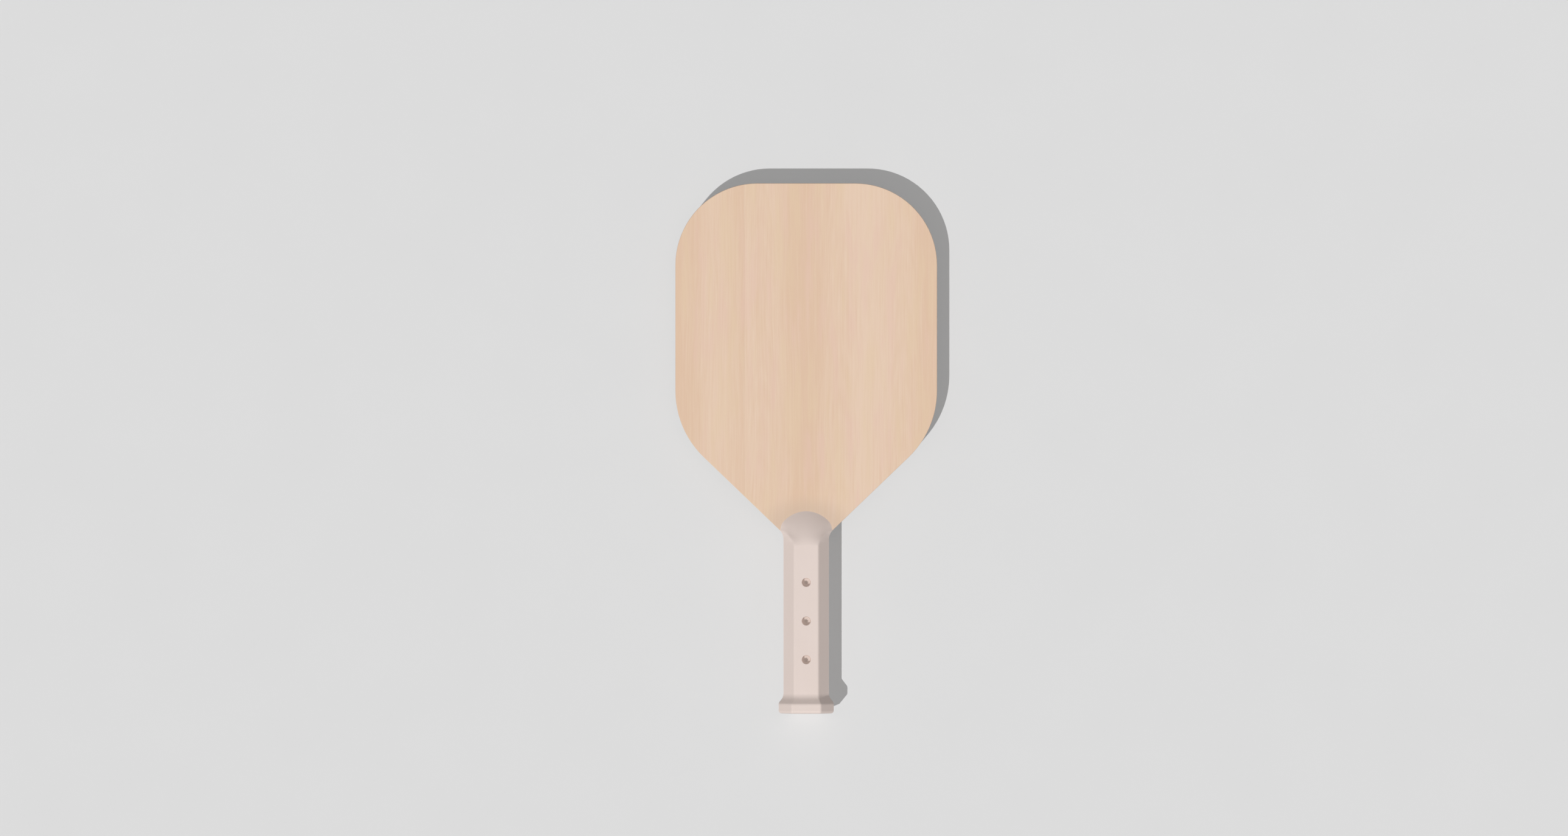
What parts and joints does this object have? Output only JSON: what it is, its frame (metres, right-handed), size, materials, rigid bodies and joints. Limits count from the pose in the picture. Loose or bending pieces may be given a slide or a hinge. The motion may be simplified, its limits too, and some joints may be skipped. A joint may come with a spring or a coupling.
{
  "type": "pickleball paddle",
  "caption": "Wooden pickleball paddle: a plywood face with round corners and a long taper, and a moulded octagonal handle with a flared butt cap and domed nose.",
  "frame": {"origin": "bottom centre of the whole paddle, lying on its rear side: the middle of its length and width, at the level of the butt cap's lower flat", "axes": "+X across the face, +Y along the paddle from the butt towards the top edge, +Z out of the front face; the blade is parallel to the XY plane"},
  "size_m": [0.2, 0.4052, 0.0382],
  "materials": {
    "face_veneer": "matte, pale straight-grained maple veneer, grain along the paddle",
    "crossband": "matte, sanded, grain across the paddle",
    "core_ply": "matte, sanded, grain along the paddle",
    "handle": "fine satin moulded texture",
    "fastener": "satin coating that matches the handle"
  },
  "bodies": {
    "root": {"front_face_veneer": "face_veneer", "front_crossband": "crossband", "front_core_ply": "core_ply", "centre_ply": "crossband", "rear_core_ply": "core_ply", "rear_crossband": "crossband", "rear_face_veneer": "face_veneer", "front_handle_scale": "handle", "rear_handle_scale": "handle", "handle_screws": "fastener", "barrel_nuts": "fastener"}
  },
  "joints": []
}
